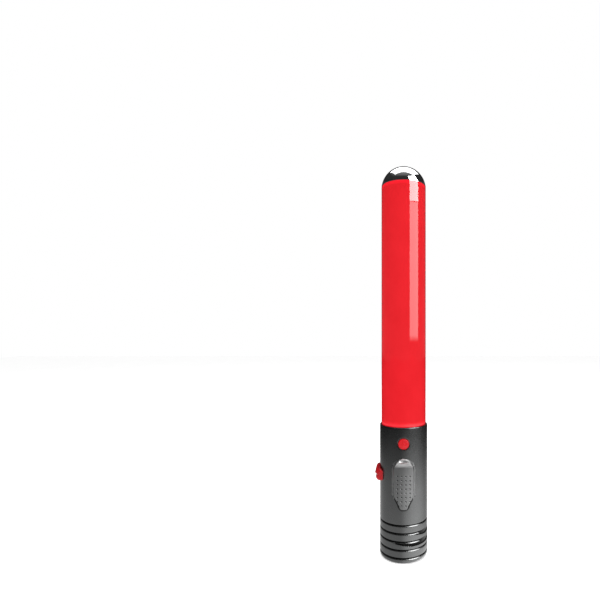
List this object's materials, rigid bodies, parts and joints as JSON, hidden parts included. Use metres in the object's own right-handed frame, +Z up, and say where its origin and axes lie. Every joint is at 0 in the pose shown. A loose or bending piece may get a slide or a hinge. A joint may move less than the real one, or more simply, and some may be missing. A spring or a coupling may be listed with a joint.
{
  "type": "road flare",
  "caption": "Reusable road flare: a red light column on a dark round handle, with a push button, thumb slide, side switch and a gas burner under a chrome dome.",
  "frame": {"origin": "centre of the flat base face, on the handle's axis", "axes": "+Z runs up the axis to the dome, the push button and thumb slide face -Y, the side switch is on -X"},
  "size_m": [0.0417, 0.0444, 0.3096],
  "materials": {
    "handle": "satin gunmetal paint over moulded plastic",
    "light_tube": "glossy tinted tube",
    "dome_chrome": "polished",
    "red_plastic": "semi-gloss",
    "red_rubber": "satin",
    "slide_grey": "satin",
    "steel": "plain",
    "brass": "turned",
    "aluminium": "extruded",
    "seal": "matte",
    "tank": "translucent moulding",
    "cell_wrap": "shrink sleeve",
    "black_plastic": "moulded",
    "board": "solder resist",
    "strip_white": "white solder resist",
    "led": "light chip",
    "lead_red": "insulation",
    "ceramic": "unglazed"
  },
  "bodies": {
    "handle": {"handle_front_shell": "handle", "handle_rear_shell": "handle", "shell_screws": "steel", "fuel_tank": "tank", "fill_valve": "brass", "outlet_valve_body": "brass", "valve_spring": "steel", "lever_bracket": "steel", "lever_pin": "steel", "gas_pipe": "brass", "battery_cell": "cell_wrap", "battery_cradle": "black_plastic", "battery_contacts": "steel", "main_board": "board", "board_parts": "black_plastic", "tact_switch": "black_plastic", "slide_spring": "steel", "side_switch_body": "steel", "cover_neck": "red_rubber", "charge_board": "board", "charge_socket": "steel", "igniter": "black_plastic", "ignition_lead": "lead_red", "electrode_insulator": "ceramic", "spark_electrode": "steel", "tube_bulkhead": "black_plastic", "light_tube": "light_tube", "led_core": "aluminium", "led_leads": "lead_red", "led_strip_front": "strip_white", "led_strip_right": "strip_white", "led_strip_rear": "strip_white", "led_strip_left": "strip_white", "led_chips_front": "led", "led_chips_right": "led", "led_chips_rear": "led", "led_chips_left": "led", "head_plate": "steel", "gas_jet": "brass", "burner_tube": "brass", "flame_nozzle": "brass", "dome_cap": "dome_chrome", "dome_seal": "seal"},
    "button": {"push_button": "red_plastic"},
    "slide": {"thumb_slide": "slide_grey", "slide_carrier": "black_plastic", "slide_screws": "steel"},
    "lever": {"valve_lever": "steel"},
    "stem": {"valve_stem": "steel"},
    "side_switch": {"side_switch": "red_plastic"},
    "port_cover": {"port_cover": "red_rubber"},
    "cap_thread": {"base_seal": "seal"},
    "base_cap": {"base_cap": "handle"}
  },
  "joints": [
    {"name": "button_press", "type": "slide", "parent": "handle", "child": "button", "axis": [0, 1, 0], "range_m": [0, 0.0008], "stiffness_N_per_m": 1200, "springref_m": -0.0008},
    {"name": "thumb_slide_push", "type": "slide", "parent": "handle", "child": "slide", "axis": [0, 0, 1], "range_m": [0, 0.0045], "stiffness_N_per_m": 400, "springref_m": -0.003, "deforming": ["slide_spring"]},
    {"name": "lever_turn", "type": "hinge", "parent": "handle", "child": "lever", "pos_m": [0, 0.0002, 0.0425], "axis": [-1, 0, 0], "range_deg": [0, 19.7]},
    {"name": "stem_press", "type": "slide", "parent": "handle", "child": "stem", "axis": [0, 0, -1], "range_m": [0, 0.0014], "deforming": ["valve_spring"]},
    {"name": "side_switch_slide", "type": "slide", "parent": "handle", "child": "side_switch", "axis": [0, 0, -1], "range_m": [0, 0.004]},
    {"name": "port_cover_swing", "type": "hinge", "parent": "handle", "child": "port_cover", "pos_m": [0, 0.0193, 0.0829], "axis": [-1, 0, 0], "range_deg": [0, 100]},
    {"name": "cap_thread_rise", "type": "slide", "parent": "handle", "child": "cap_thread", "axis": [0, 0, -1], "range_m": [0, 0.00375]},
    {"name": "base_cap_turn", "type": "hinge", "parent": "cap_thread", "child": "base_cap", "pos_m": [0, 0, 0.001], "axis": [0, 0, -1], "range_deg": [0, 900]}
  ],
  "couplings": [
    {"joint": "lever_turn", "follows": "thumb_slide_push", "rad_per_m": 76.228},
    {"joint": "stem_press", "follows": "thumb_slide_push", "ratio": 0.3111},
    {"joint": "base_cap_turn", "follows": "cap_thread_rise", "rad_per_m": 4188.8}
  ]
}
